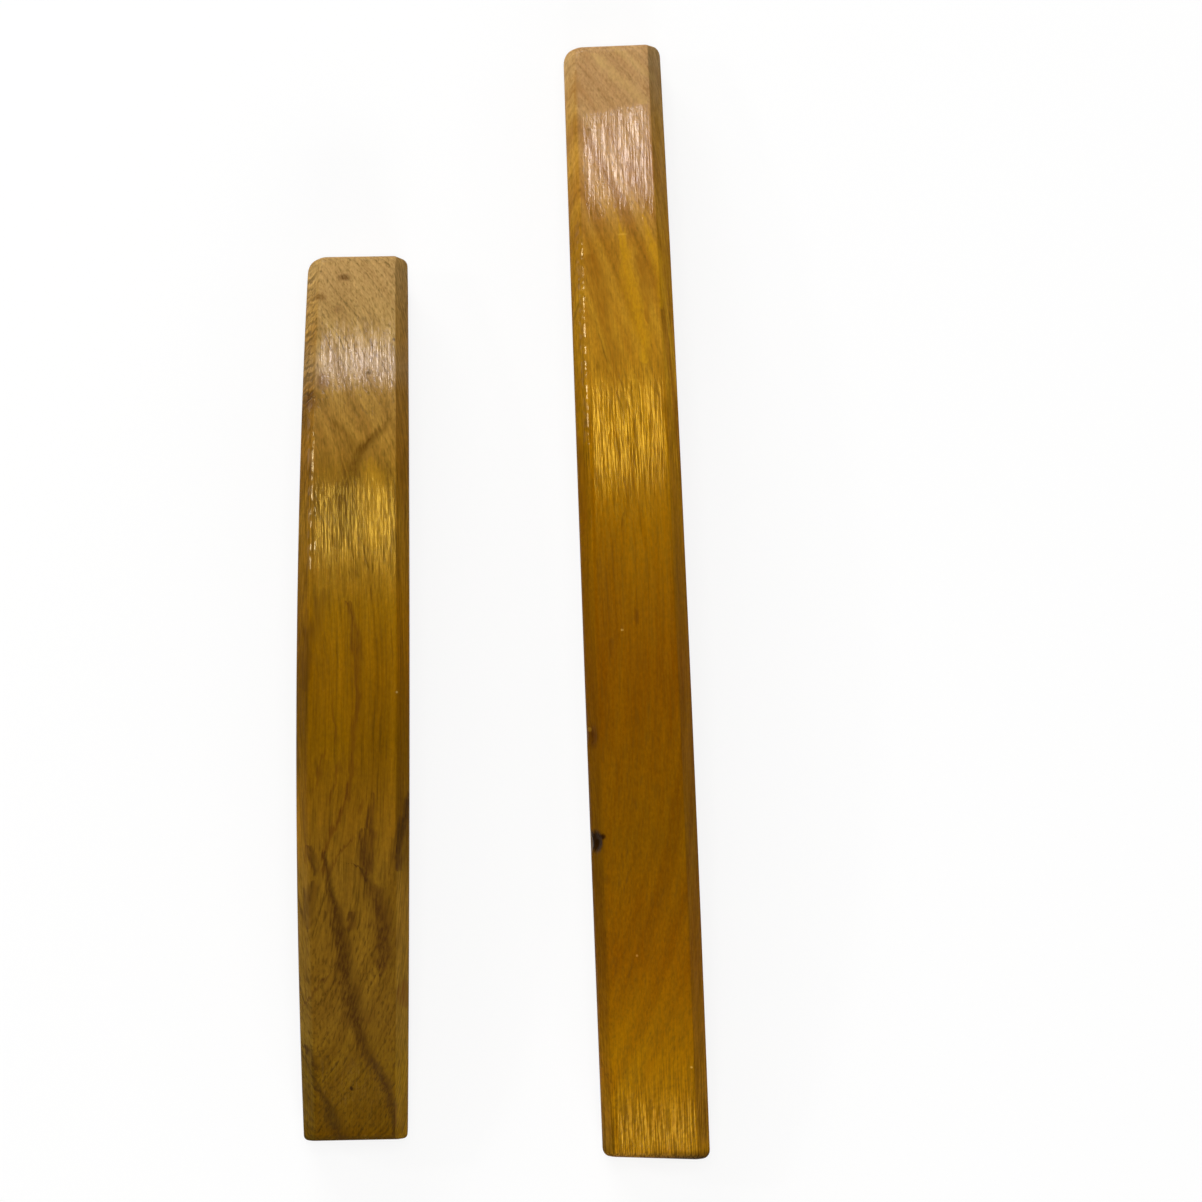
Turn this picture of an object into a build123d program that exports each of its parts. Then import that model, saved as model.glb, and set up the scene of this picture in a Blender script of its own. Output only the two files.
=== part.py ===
from build123d import *
import os
from dataclasses import dataclass
from math import asin, cos, radians, sin, sqrt, tan

# A pair of claves: two loose hardwood sticks that are struck together, a long one that is held in the
# cupped hand and a short one that strikes it. Each stick is one solid piece of wood, sawn to a bow from
# straight-grained stock, bevelled along its four long edges and round its two ends. It stands like a low
# arch on two small flats, one under each end.
#
# Frame: millimetres, +Z up. The claves stand on z = 0 with their heads towards +Y, the short one on the
# -X side. The origin is on z = 0, below the middle of the box round both.

# --- sizes of the long clave -----------------------------------------------------------------------
LONG_LENGTH = 249.0  # from end to end, over the upper corners
LONG_MIDDLE_RADIUS = 412.0  # the outer face along its middle stretch
LONG_END_RADIUS = 400.0  # the outer face from there to each end
LONG_HEAD_LEFT = 10.75  # from the centre line out to each side, at the head
LONG_HEAD_RIGHT = 10.75
LONG_MIDDLE_LEFT = 11.5  # the same at half its length
LONG_MIDDLE_RIGHT = 11.9
LONG_TAIL_LEFT = 11.8  # and at the tail
LONG_TAIL_RIGHT = 12.1
LONG_HEAD_SKEW = 0.0  # degrees that each end's cut is out of square, seen from above
LONG_TAIL_SKEW = -4.0
LONG_TURN = 2.3  # degrees that it lies turned about its middle

# --- sizes of the short clave ----------------------------------------------------------------------
SHORT_LENGTH = 197.9
SHORT_MIDDLE_RADIUS = 412.0
SHORT_END_RADIUS = 212.0  # it bends more towards its ends than the long one
SHORT_HEAD_LEFT = 10.0
SHORT_HEAD_RIGHT = 12.1
SHORT_MIDDLE_LEFT = 12.5
SHORT_MIDDLE_RIGHT = 12.6
SHORT_TAIL_LEFT = 11.0
SHORT_TAIL_RIGHT = 12.1
SHORT_HEAD_SKEW = -0.9
SHORT_TAIL_SKEW = 1.2
SHORT_TURN = 0.0

# --- sizes that both have --------------------------------------------------------------------------
MIDDLE_STRETCH = 80.0  # how much of the outer face has the middle radius
THICKNESS = 18.0  # at the top of the bow
END_THICKNESS = 15.0  # at the head, square to the outer face
OUTER_BEVEL = 2.8  # width and depth of the bevels beside the outer face
INNER_BEVEL = 1.8  # and of those beside the inner face
FOOT = 5.0  # length of the flat under each end, before its outer edge is bevelled
TAIL_LEAN = 6.0  # degrees that the tail's cut leans in under the stick
END_BEVEL = 1.6  # width and depth of the bevels round both ends

# --- how the two stand beside each other -----------------------------------------------------------
MIDDLES_APART = 62.5  # from the middle of one clave to the middle of the other, along X
SHORT_SET_BACK = 21.4  # how far the middle of the short clave is behind the long one's, along Y

OVERRUN = 8.0  # how far a blank runs past each end before it is sawn to length


@dataclass
class Clave:
    """The sizes in which the two differ. Left and right are -X and +X, with the head towards +Y."""

    length: float
    middle_radius: float
    end_radius: float
    head: tuple  # from the centre line out to the left and to the right side
    middle: tuple
    tail: tuple
    head_skew: float
    tail_skew: float
    turn: float


LONG = Clave(
    length=LONG_LENGTH,
    middle_radius=LONG_MIDDLE_RADIUS,
    end_radius=LONG_END_RADIUS,
    head=(LONG_HEAD_LEFT, LONG_HEAD_RIGHT),
    middle=(LONG_MIDDLE_LEFT, LONG_MIDDLE_RIGHT),
    tail=(LONG_TAIL_LEFT, LONG_TAIL_RIGHT),
    head_skew=LONG_HEAD_SKEW,
    tail_skew=LONG_TAIL_SKEW,
    turn=LONG_TURN,
)
SHORT = Clave(
    length=SHORT_LENGTH,
    middle_radius=SHORT_MIDDLE_RADIUS,
    end_radius=SHORT_END_RADIUS,
    head=(SHORT_HEAD_LEFT, SHORT_HEAD_RIGHT),
    middle=(SHORT_MIDDLE_LEFT, SHORT_MIDDLE_RIGHT),
    tail=(SHORT_TAIL_LEFT, SHORT_TAIL_RIGHT),
    head_skew=SHORT_HEAD_SKEW,
    tail_skew=SHORT_TAIL_SKEW,
    turn=SHORT_TURN,
)


class Bow:
    """The side view of one clave: where its outer and inner faces run, in Y and Z."""

    def __init__(self, c):
        self.half = c.length / 2
        self.middle_radius = c.middle_radius
        self.end_radius = c.end_radius
        self.join_y = MIDDLE_STRETCH / 2
        self.join_slope = asin(self.join_y / c.middle_radius)
        self.end_centre_y = self.join_y - c.end_radius * sin(self.join_slope)
        self.end_slope = asin((self.half - self.end_centre_y) / c.end_radius)
        self.corner_z = END_THICKNESS * cos(self.end_slope)  # height of the upper corner at each end
        middle_drop = c.middle_radius * (1 - cos(self.join_slope))
        end_drop = c.end_radius * (cos(self.join_slope) - cos(self.end_slope))
        self.top_z = self.corner_z + end_drop + middle_drop
        # The inner face is one arc, from the heel of one foot to the heel of the other.
        self.head_toe = self.half - self.corner_z * tan(self.end_slope)
        self.tail_toe = self.half - self.corner_z * tan(radians(TAIL_LEAN))
        head_heel = self.head_toe - FOOT
        tail_heel = self.tail_toe - FOOT
        self.inner_middle_y = (head_heel - tail_heel) / 2
        half_span = (head_heel + tail_heel) / 2
        inner_rise = self.top_z - THICKNESS
        self.inner_radius = (half_span**2 + inner_rise**2) / (2 * inner_rise)
        self.inner_centre_z = inner_rise - self.inner_radius

    def outer(self, y):
        """Height of the outer face at y."""
        side = abs(y)
        if side <= self.join_y:
            return self.top_z - self.middle_radius + sqrt(self.middle_radius**2 - side**2)
        end_centre_z = self.corner_z - self.end_radius * cos(self.end_slope)
        return end_centre_z + sqrt(self.end_radius**2 - (side - self.end_centre_y) ** 2)

    def inner(self, y):
        """Height of the inner face at y, which would go below zero beyond the heels."""
        return self.inner_centre_z + sqrt(self.inner_radius**2 - (y - self.inner_middle_y) ** 2)


def side_profile(bow):
    """The bow seen from the side, on the YZ plane, running past both ends."""
    reach = bow.half + OVERRUN
    end_middle = (bow.join_y + reach) / 2

    def outer(y):
        return (y, bow.outer(y))

    def inner(y):
        return (y, bow.inner(y))

    with BuildSketch(Plane.YZ) as profile:
        with BuildLine():
            ThreePointArc(outer(-reach), outer(-end_middle), outer(-bow.join_y))
            ThreePointArc(outer(-bow.join_y), outer(0), outer(bow.join_y))
            ThreePointArc(outer(bow.join_y), outer(end_middle), outer(reach))
            Line(outer(reach), inner(reach))
            ThreePointArc(inner(reach), inner(0), inner(-reach))
            Line(inner(-reach), outer(-reach))
        make_face()
    return profile.sketch


def half_width(c, side, y):
    """How far the left (side 0) or right (side 1) side is from the centre line at y."""
    t = y / (c.length / 2)
    head, middle, tail = c.head[side], c.middle[side], c.tail[side]
    return middle + (head - tail) / 2 * t + ((head + tail) / 2 - middle) * t**2


def plan_profile(c, bow):
    """The stick seen from above, on the XY plane, running past both ends."""
    reach = bow.half + OVERRUN

    def side_line(side, x_sign):
        """One side from tail to head: a parabola through its three widths."""
        tail, middle, head = (half_width(c, side, y) for y in (-reach, 0, reach))
        pull = 2 * middle - (tail + head) / 2
        return [(x_sign * tail, -reach), (x_sign * pull, 0), (x_sign * head, reach)]

    left = side_line(0, -1)
    right = side_line(1, 1)
    with BuildSketch(Plane.XY) as profile:
        with BuildLine():
            Bezier(*left)
            Line(left[-1], right[-1])
            Bezier(*reversed(right))
            Line(right[0], left[0])
        make_face()
    return profile.sketch


def end_cuts(c, bow, sign, lean, skew):
    """Planes that saw off and bevel the head (sign 1) or the tail (-1), each facing away from the stick."""
    normal = Vector(sin(skew) * cos(lean), sign * cos(skew) * cos(lean), -sin(lean))
    corner = Vector(0, sign * bow.half, bow.corner_z)

    def on_cut(x, z):
        """The point of the saw cut at x and z."""
        y = corner.Y - (normal.X * x + normal.Z * (z - corner.Z)) / normal.Y
        return Vector(x, y, z)

    middle_z = bow.corner_z / 2
    neighbours = [
        (corner, Vector(0, sign * sin(bow.end_slope), cos(bow.end_slope))),  # outer face
        (on_cut(0, 0), Vector(0, 0, -1)),  # foot
        (on_cut(-half_width(c, 0, corner.Y), middle_z), Vector(-1, 0, 0)),  # left side
        (on_cut(half_width(c, 1, corner.Y), middle_z), Vector(1, 0, 0)),  # right side
    ]
    cuts = [Plane(origin=corner, z_dir=normal)]
    for edge, neighbour in neighbours:
        outward = (normal + neighbour).normalized()
        cuts.append(Plane(origin=edge - outward * (END_BEVEL * sqrt(0.5)), z_dir=outward))
    return cuts


def make_clave(c):
    """One clave, standing on z = 0 with its middle over the origin and its head towards +Y."""
    bow = Bow(c)
    widest = max(*c.head, *c.middle, *c.tail)
    side = extrude(side_profile(bow), amount=2 * widest, both=True)
    plan = extrude(plan_profile(c, bow), amount=2 * bow.top_z, both=True)
    stick = split(side & plan, bisect_by=Plane.XY, keep=Keep.TOP)

    def long_edges(height):
        """The edges on both sides that follow one of the stick's long curves."""
        found = []
        for edge in stick.edges():
            middle = edge.position_at(0.5)
            beside = abs(middle.X) > widest / 2
            if beside and abs(middle.Z - height(middle.Y)) < 0.05:
                found.append(edge)
        return found

    def underside(y):
        """Height of the inner face, or of the foot where that is flat."""
        return max(bow.inner(y), 0)

    stick = chamfer(long_edges(bow.outer), OUTER_BEVEL)
    stick = chamfer(long_edges(underside), INNER_BEVEL)
    head_cuts = end_cuts(c, bow, 1, bow.end_slope, radians(c.head_skew))
    tail_cuts = end_cuts(c, bow, -1, radians(TAIL_LEAN), radians(c.tail_skew))
    for cut in head_cuts + tail_cuts:
        stick = split(stick, bisect_by=cut, keep=Keep.BOTTOM)
    return stick


def place_pair():
    """Both claves where they stand, by node name."""
    long_clave = Pos(MIDDLES_APART / 2, 0, 0) * Rot(0, 0, LONG.turn) * make_clave(LONG)
    short_clave = Pos(-MIDDLES_APART / 2, -SHORT_SET_BACK, 0) * Rot(0, 0, SHORT.turn) * make_clave(SHORT)
    middle = long_clave.bounding_box().add(short_clave.bounding_box()).center()
    to_origin = Pos(-middle.X, -middle.Y, 0)
    return {"long_clave": to_origin * long_clave, "short_clave": to_origin * short_clave}


os.makedirs("parts", exist_ok=True)
for name, clave in place_pair().items():
    export_step(clave, f"parts/{name}.step")
    print(name, clave.bounding_box())
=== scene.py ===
from math import asin, cos, pi, radians, sin, sqrt, tan

import bpy
from mathutils import Matrix, Quaternion, Vector, noise


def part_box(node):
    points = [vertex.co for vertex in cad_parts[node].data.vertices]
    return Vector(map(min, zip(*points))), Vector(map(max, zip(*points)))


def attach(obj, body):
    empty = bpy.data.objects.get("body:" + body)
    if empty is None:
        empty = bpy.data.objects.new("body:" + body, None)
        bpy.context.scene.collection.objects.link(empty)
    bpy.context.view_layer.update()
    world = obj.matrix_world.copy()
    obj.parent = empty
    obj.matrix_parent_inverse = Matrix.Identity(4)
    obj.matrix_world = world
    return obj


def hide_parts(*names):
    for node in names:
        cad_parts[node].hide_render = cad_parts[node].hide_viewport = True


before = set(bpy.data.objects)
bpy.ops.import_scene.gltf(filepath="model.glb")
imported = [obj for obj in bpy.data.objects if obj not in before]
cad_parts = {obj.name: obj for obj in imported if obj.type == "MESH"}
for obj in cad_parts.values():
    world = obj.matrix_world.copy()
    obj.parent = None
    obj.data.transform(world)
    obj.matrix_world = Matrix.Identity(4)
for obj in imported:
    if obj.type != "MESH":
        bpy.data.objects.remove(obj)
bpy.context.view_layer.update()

# ======================================================================================================
# The long clave
# A bowed hardwood stick, sawn from one straight-grained piece and varnished amber. Its long edges are
# bevelled by hand, the left ones rubbed soft. It stands on two flats, one under each end.
# ======================================================================================================

MM = 0.001

# The sizes that both sticks share, in mm.
MIDDLE_STRETCH = 80.0  # how much of the outer face has the middle radius
MIDDLE_RADIUS = 412.0
THICKNESS = 18.0  # at the top of the bow
END_THICKNESS = 15.0  # at the head, square to the outer face
OUTER_BEVEL = 2.8  # width and depth of the bevels beside the outer face
INNER_BEVEL = 1.8
FOOT = 5.0  # length of the flat under each end
TAIL_LEAN = 6.0  # degrees that the tail's cut leans in under the stick
TOP_EASE = 1.5  # how far the edges round both ends are rounded over, on the outer face and the foot
RIM_BEVEL = 1.2  # what is left of the long bevels where they run out into the rounded ends
SAWN_SHORT = 0.3  # rounding lets the ends stand out beyond flat bevels, so each stick is this much shorter

STATION_GAP = 0.8  # mm between the rings of the mesh, close enough for the chipped places
END_STEPS = 8  # rings over each rounded end
CAP_RINGS = (0.96, 0.8, 0.5, 0.2)  # sizes of the rings that close an end, as shares of its outline
ARC_STEPS = 5  # points round each of the eight long edges
FLAT_STEPS = (3, 1, 11, 1, 3, 1, 6, 1)  # points along the flats after each long edge
LEAN_FROM = 0.5  # the cross sections stand upright up to this share of the way from the middle to an end

WAVES_ACROSS = 9.0  # mm from one shallow wave of the sanded faces to the next
WAVES_ALONG = 16.0
WAVE_DEPTH = 0.028
FACET_SIDE = 10.0  # the sanded flat's ends are given this far to the left and right of the middle
FACET_SOFTNESS = 0.3  # mm squared: how softly the flat begins
DENT_TOP = 0.45  # the chips bite above this share of the height
DENT_GRAIN = 1.3  # lumps per mm inside a chip
DENT_SLOPE = (0.75, -0.65)  # which way a chip sinks into the left edge: to the right and down


def make_stick(name, length, end_radius, heads, middles, tails, skews, end_corners, radii, facet, dents):
    """One clave as a mesh in its own frame: its middle over the origin, its head towards +Y, standing on
    z = 0.

    heads, middles, tails: from the centre line out to the left and right side.
    skews: degrees that the head's and the tail's cut are out of square, seen from above.
    end_corners: (across, along) of the rounded corners, seen from above, by end and side.
    radii: of the eight long edges, from the lower left one round over the top.
    facet: (y at the left edge, y at the right edge, degrees) of the flat sanded on to the head, or None.
    dents: (x, y, half width, half length, depth) of chipped places in the upper left edge.
    """
    half = (length - SAWN_SHORT) / 2
    join_y = MIDDLE_STRETCH / 2
    join_slope = asin(join_y / MIDDLE_RADIUS)
    end_centre_y = join_y - end_radius * sin(join_slope)
    end_slope = asin((length / 2 - end_centre_y) / end_radius)
    corner_z = END_THICKNESS * cos(end_slope)
    end_centre_z = corner_z - end_radius * cos(end_slope)
    top_z = end_centre_z + end_radius * cos(join_slope) + MIDDLE_RADIUS * (1 - cos(join_slope))
    head_heel = half - corner_z * tan(end_slope) - FOOT
    tail_heel = half - corner_z * tan(radians(TAIL_LEAN)) - FOOT
    half_span, inner_y = (head_heel + tail_heel) / 2, (head_heel - tail_heel) / 2
    inner_rise = top_z - THICKNESS
    inner_radius = (half_span**2 + inner_rise**2) / (2 * inner_rise)

    def outer(y):
        side = abs(y)
        if side <= join_y:
            return top_z - MIDDLE_RADIUS + sqrt(MIDDLE_RADIUS**2 - side**2)
        return end_centre_z + sqrt(end_radius**2 - (side - end_centre_y) ** 2)

    def under(y):
        return max(inner_rise - inner_radius + sqrt(inner_radius**2 - (y - inner_y) ** 2), 0.0)

    def half_width(side, y):
        t = y / (length / 2)
        head, middle, tail = heads[side], middles[side], tails[side]
        return middle + (head - tail) / 2 * t + ((head + tail) / 2 - middle) * t**2

    def rounded(distance, across, along):
        """How far a rounded end has drawn in at this distance from its cut."""
        if distance >= along:
            return 0.0
        return across * (1 - sqrt(1 - ((along - distance) / along) ** 2))

    def ring(y, distance, corners):
        """The points (x, z, share of the height) of one cross section."""
        left_in, right_in = (rounded(distance, *c) for c in corners)
        level_in = rounded(distance, TOP_EASE, TOP_EASE)
        low, high = under(y) + level_in, outer(y) - level_in
        left, right = -half_width(0, y) + left_in, half_width(1, y) - right_in
        run_out = rounded(distance, 1.0, max(c[1] for c in corners))
        top = OUTER_BEVEL - (OUTER_BEVEL - RIM_BEVEL) * run_out
        base = INNER_BEVEL - (INNER_BEVEL - RIM_BEVEL) * run_out
        corner = [
            Vector((left, low + base)),
            Vector((left, high - top)),
            Vector((left + top, high)),
            Vector((right - top, high)),
            Vector((right, high - top)),
            Vector((right, low + base)),
            Vector((right - base, low)),
            Vector((left + base, low)),
        ]
        # Each edge turns by 45 degrees. Its rounding takes up at most half of the bevel beside it.
        cut_back = [min(r, top * 1.2) * tan(radians(22.5)) for r in radii]
        points = []
        for k in range(8):
            here, before, after = corner[k], corner[k - 1], corner[(k + 1) % 8]
            start = here + (before - here).normalized() * cut_back[k]
            end = here + (after - here).normalized() * cut_back[k]
            for i in range(ARC_STEPS + 1):
                t = i / ARC_STEPS
                points.append(start.lerp(here, t).lerp(here.lerp(end, t), t))
            next_start = after + (here - after).normalized() * cut_back[(k + 1) % 8]
            for i in range(1, FLAT_STEPS[k] + 1):
                points.append(end.lerp(next_start, i / (FLAT_STEPS[k] + 1)))
        full_low, full_high = under(y), outer(y)
        return [(p.x, p.y, (p.y - full_low) / (full_high - full_low)) for p in points]

    def place(x, z, share, station):
        """Leans the cross sections over towards the saw cuts, keeps every point on the bow, and adds what
        the sanding and the knocks have left: the facet, the shallow waves and the chips."""
        t = max(0.0, (abs(station) / half - LEAN_FROM) / (1 - LEAN_FROM)) ** 2
        at_head = station > 0
        lean = end_slope if at_head else radians(TAIL_LEAN)
        skew = radians(skews[0] if at_head else skews[1])
        sign = 1 if at_head else -1
        y = station + sign * t * (tan(lean) * (z - outer(station)) - tan(skew) * x)
        z += share * (outer(y) - outer(station)) + (1 - share) * (under(y) - under(station))
        if facet:
            left_y, right_y, angle = facet
            line = left_y + (right_y - left_y) * (x + FACET_SIDE) / (2 * FACET_SIDE)
            past = y - line
            z -= max(0.0, share) ** 2 * tan(radians(angle)) * (past + sqrt(past**2 + FACET_SOFTNESS)) / 2
        wave = noise.noise(Vector((x / WAVES_ACROSS, y / WAVES_ALONG, 3.0 + length)))
        z += share * WAVE_DEPTH * (wave - 1) * (1 if z > 1 else 0)
        for dent_x, dent_y, wide, long, depth in dents:
            off = ((x - dent_x) / wide) ** 2 + ((y - dent_y) / long) ** 2
            if off < 1 and share > DENT_TOP:
                lump = noise.noise(Vector((x * DENT_GRAIN, y * DENT_GRAIN, z * DENT_GRAIN)))
                sink = depth * (1 - off) ** 1.3 * (1 + 0.5 * lump)
                x, z = x + DENT_SLOPE[0] * sink, z + DENT_SLOPE[1] * sink
        return (x * MM, y * MM, max(z, 0.0) * MM)

    # Cross sections from tail to head, as (y, distance from the nearer cut, corners there). Past the
    # rounded ends the corners make no difference.
    longest = max(corner[1] for end in end_corners for corner in end)
    between = 2 * half - 2 * longest
    steps = [longest * (1 - cos(pi / 2 * i / END_STEPS)) for i in range(END_STEPS)]
    count = round(between / STATION_GAP)
    stations = [(d - half, d, end_corners[1]) for d in steps]
    stations += [(-half + longest + between * i / count, longest, end_corners[0]) for i in range(count + 1)]
    stations += [(half - d, d, end_corners[0]) for d in reversed(steps)]

    vertices, faces = [], []
    for y, distance, corners in stations:
        vertices += [place(*p, y) for p in ring(y, distance, corners)]
    size = len(vertices) // len(stations)

    def join(one, two, forward):
        """A strip of faces between two rings of vertices."""
        for j in range(size):
            k = (j + 1) % size
            quad = (one[j], one[k], two[k], two[j])
            faces.append(quad if forward else quad[::-1])

    rings = [list(range(i * size, (i + 1) * size)) for i in range(len(stations))]
    for one, two in zip(rings, rings[1:]):
        join(one, two, True)
    for outline, forward in ((rings[0], False), (rings[-1], True)):
        middle = sum((Vector(vertices[v]) for v in outline), Vector()) / size
        rim = outline
        for shrink in CAP_RINGS:
            smaller = list(range(len(vertices), len(vertices) + size))
            vertices += [tuple(middle.lerp(Vector(vertices[v]), shrink)) for v in outline]
            join(rim, smaller, forward)
            rim = smaller
        faces.append(tuple(rim) if forward else tuple(rim[::-1]))

    mesh = bpy.data.meshes.new(name)
    mesh.from_pydata(vertices, [], faces)
    mesh.update()
    mesh.shade_smooth()
    stick = bpy.data.objects.new(name, mesh)
    bpy.context.scene.collection.objects.link(stick)
    return stick


def stand_like(stick, node, turn):
    """Turns the stick and stands it where its CAD node stands. Returns where its middle then is."""
    stick.data.transform(Matrix.Rotation(radians(turn), 4, "Z"))
    low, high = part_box(node)
    middle = Vector((0, 0, 0))
    for axis in (0, 1):
        along = [v.co[axis] for v in stick.data.vertices]
        middle[axis] = (low[axis] + high[axis]) / 2 - (min(along) + max(along)) / 2
    stick.data.transform(Matrix.Translation(middle))
    return middle


def linear(hex_colour):
    """An sRGB hex colour as the linear one that shaders take."""
    values = [int(hex_colour[i : i + 2], 16) / 255 for i in (1, 3, 5)]
    return tuple(v / 12.92 if v <= 0.04045 else ((v + 0.055) / 1.055) ** 2.4 for v in values) + (1.0,)


def add(tree, kind, inputs=(), out=0, stops=None, points=None, **settings):
    """Adds one node and returns one of its outputs. Inputs go by name or number, and each is a value or
    another node's output. MapRange takes its inputs 1 and 2 to 3 and 4, and Mix blends 2 and 3, or the
    colours 6 and 7. stops are (place, grey or colour) of a colour ramp, and points are (x, y) of a curve."""
    made = tree.nodes.new("ShaderNode" + kind)
    for key, value in settings.items():
        setattr(made, key, value)
    for key, value in dict(inputs).items():
        if isinstance(value, bpy.types.NodeSocket):
            tree.links.new(value, made.inputs[key])
        else:
            made.inputs[key].default_value = value
    if stops:
        ramp = made.color_ramp.elements
        while len(ramp) < len(stops):
            ramp.new(1.0)
        for element, (place, colour) in zip(ramp, stops):
            element.position = place
            element.color = colour if isinstance(colour, tuple) else (colour,) * 3 + (1.0,)
    if points:
        curve = made.mapping.curves[0]
        while len(curve.points) < len(points):
            curve.points.new(1.0, 1.0)
        for point, where in zip(curve.points, points):
            point.location = where
        made.mapping.update()
    return None if out is None else made.outputs[out]


# The patterns in the wood and its varnish, in mm unless a line says otherwise.
RING_LEAN = 117.0  # degrees that the yearly rings lean, seen from the end of a stick
RING_GAP = 0.66  # from one yearly ring to the next
GROUPS_PER_RING = 0.45  # browner or more golden groups of rings, so about two rings in each
PORE = (0.24, 18.0, 0.6)  # across its row, along the stick, along its row
SPECKLE = (0.5, 1.1, 0.5)
FLECK = (4.0, 30.0, 4.0)
RAG = (1.4, 4.0, 1.4)  # the ragged edges of veins and spots
VEIN_DEPTHS = (12.0, 6.0)  # below the outer face: where veins and spots end, and where they are full
MID_NOISE = {1: 0.3, 2: 0.7}  # the range that most of a noise lies in, as inputs of MapRange
BEVEL_EDGE = {1: 0.25, 2: 0.6}  # how far a face looks to the side where a bevel begins and is full
RASP_EDGE = (-7.8, -9.3)  # x where the rasp marks begin and are full, on the left bevel
RASP_DEPTH = (5.0, 2.5)  # below the outer face: where they end, and where they are full
RASP_SLANT = -0.7  # they rise 0.7 mm along the stick for each mm to the right
WORN_RIM = (4.0, 1.0)  # from either end: where the varnish begins to thin, and where it is worn off
STROKE_HEIGHT = 0.04


def per_mm(sizes):
    """How often a pattern comes in a millimetre each way, from its sizes in mm."""
    return tuple(1 / size for size in sizes)


def varnished_wood(
    name, middle, turn, length, end_radius, top, tones_and_painted_light, bevel_light_and_shade, bevel_painted_tint, pore_colour, figure,
    rasped, coat, matt, edge_gloss, veins, spots,
):
    """Ring-porous hardwood, sanded and brushed with varnish: the rings and pores run on through the whole
    stick, so they show as long lines where a face follows the grain and as short dashes where the bow cuts
    across it.

    middle, turn: where the middle of the stick is, and how it is turned.
    length, end_radius, top: the stick's, in mm. top is how high its bow stands.
    tones: (y, colour) from tail to head: the wood's tone, with painted light and shade in it. Every y is in
    mm from the middle.
    bevel_light_and_shade: (y, brightness against the outer face), of the left and of the right bevels:
    painted light and shade, lighter where the lamps fall on a bevel and darker where it faces away from them.
    bevel_painted_tint: (y, (red, green, blue) against the outer face): a painted tint of both bevels that
    stands in for how the lamps colour them.
    figure: the sizes and strengths of the grain, and of the painted glints along the brush strokes. Its lists
    hold (y, strength).
    rasped: (from y, to y, mm between marks, strength) of rasp marks on the left bevel, or None.
    coat, matt: (y, share) of how thick and how matt the varnish is.
    edge_gloss: (from x, to x, from y, to y, mm between drops) of varnish that has dried in drops.
    veins: (points, strength, colour), each point being (x, y, half width).
    spots: (x, y, half width, half length, strength, colour).
    """
    material = bpy.data.materials.new(name)
    material.use_nodes = True
    tree = material.node_tree
    tree.nodes.clear()

    def placed(stops):
        """The stops of a ramp along the stick, with their y turned into the ramp's 0 to 1."""
        return [((at + length / 2) / length, value) for at, value in stops]

    def faded(amount, limits):
        """An amount that fades at limits, each one (what is measured, where it is gone, where it is full)."""
        for measured, gone, full in limits:
            edge = add(tree, "MapRange", {0: measured, 1: gone, 2: full})
            amount = add(tree, "Math", {0: amount, 1: edge}, operation="MULTIPLY")
        return amount

    place = add(tree, "TexCoord", out="Object")
    stick_frame = {0: place, "Location": middle, "Rotation": (0, 0, radians(turn)), "Scale": (MM, MM, MM)}
    mm = add(tree, "Mapping", stick_frame, vector_type="TEXTURE")
    x = add(tree, "SeparateXYZ", {0: mm})
    y, z = x.node.outputs[1], x.node.outputs[2]
    along = add(tree, "MapRange", {0: y, 1: -length / 2, 2: length / 2})

    # How deep a point lies below the outer face, which follows two arcs.
    join_y = MIDDLE_STRETCH / 2
    end_centre_y = join_y - end_radius * join_y / MIDDLE_RADIUS
    side = add(tree, "Math", {0: y}, operation="ABSOLUTE")
    inner_side = add(tree, "Math", {0: side, 1: join_y}, operation="MINIMUM")
    outer_side = add(tree, "Math", {0: side, 1: join_y}, operation="MAXIMUM")
    outer_side = add(tree, "Math", {0: outer_side, 1: end_centre_y}, operation="SUBTRACT")
    level = -MIDDLE_RADIUS - sqrt(end_radius**2 - (join_y - end_centre_y) ** 2) + top
    for along_arc, radius in ((inner_side, MIDDLE_RADIUS), (outer_side, end_radius)):
        square = add(tree, "Math", {0: along_arc, 1: 2.0}, operation="POWER")
        square = add(tree, "Math", {0: radius**2, 1: square}, operation="SUBTRACT")
        rise = add(tree, "Math", {0: square}, operation="SQRT")
        level = add(tree, "Math", {0: level, 1: rise}, operation="ADD")
    depth = add(tree, "Math", {0: level, 1: z}, operation="SUBTRACT")

    # The grain wanders by a millimetre or so over a hand's width.
    slow = add(tree, "VectorMath", {0: mm, 1: per_mm(figure["wander_size"])}, operation="MULTIPLY")
    wander = add(tree, "TexNoise", {"Vector": slow, "Scale": 1.0, "Detail": 1.5}, out="Color")
    centred = add(tree, "VectorMath", {0: wander, 1: (0.5, 0.5, 0.5)}, operation="SUBTRACT")
    shift = add(tree, "VectorMath", {0: centred, 1: figure["wander"]}, operation="MULTIPLY")
    grain = add(tree, "VectorMath", {0: mm, 1: shift}, operation="ADD")

    # Yearly rings: each starts with a darker band of open pores, and some years are stronger than others.
    lean = radians(RING_LEAN)
    outward = (cos(lean) / RING_GAP, 0.0, sin(lean) / RING_GAP)
    year = add(tree, "VectorMath", {0: grain, 1: outward}, out="Value", operation="DOT_PRODUCT")
    phase = add(tree, "Math", {0: year}, operation="FRACT")
    number = add(tree, "Math", {0: year}, operation="FLOOR")
    year_chance = add(tree, "TexWhiteNoise", {"W": number}, noise_dimensions="1D")
    over_a_year = [(0.0, 0.5), (0.12, 1.0), (0.35, 0.5), (0.65, 0.1), (0.9, 0.0), (1.0, 0.5)]
    early = add(tree, "ValToRGB", {0: phase}, stops=over_a_year)
    strength = add(tree, "MapRange", {0: year_chance, 3: 0.25, 4: 1.0})
    band = add(tree, "Math", {0: early, 1: strength}, operation="MULTIPLY")

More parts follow.
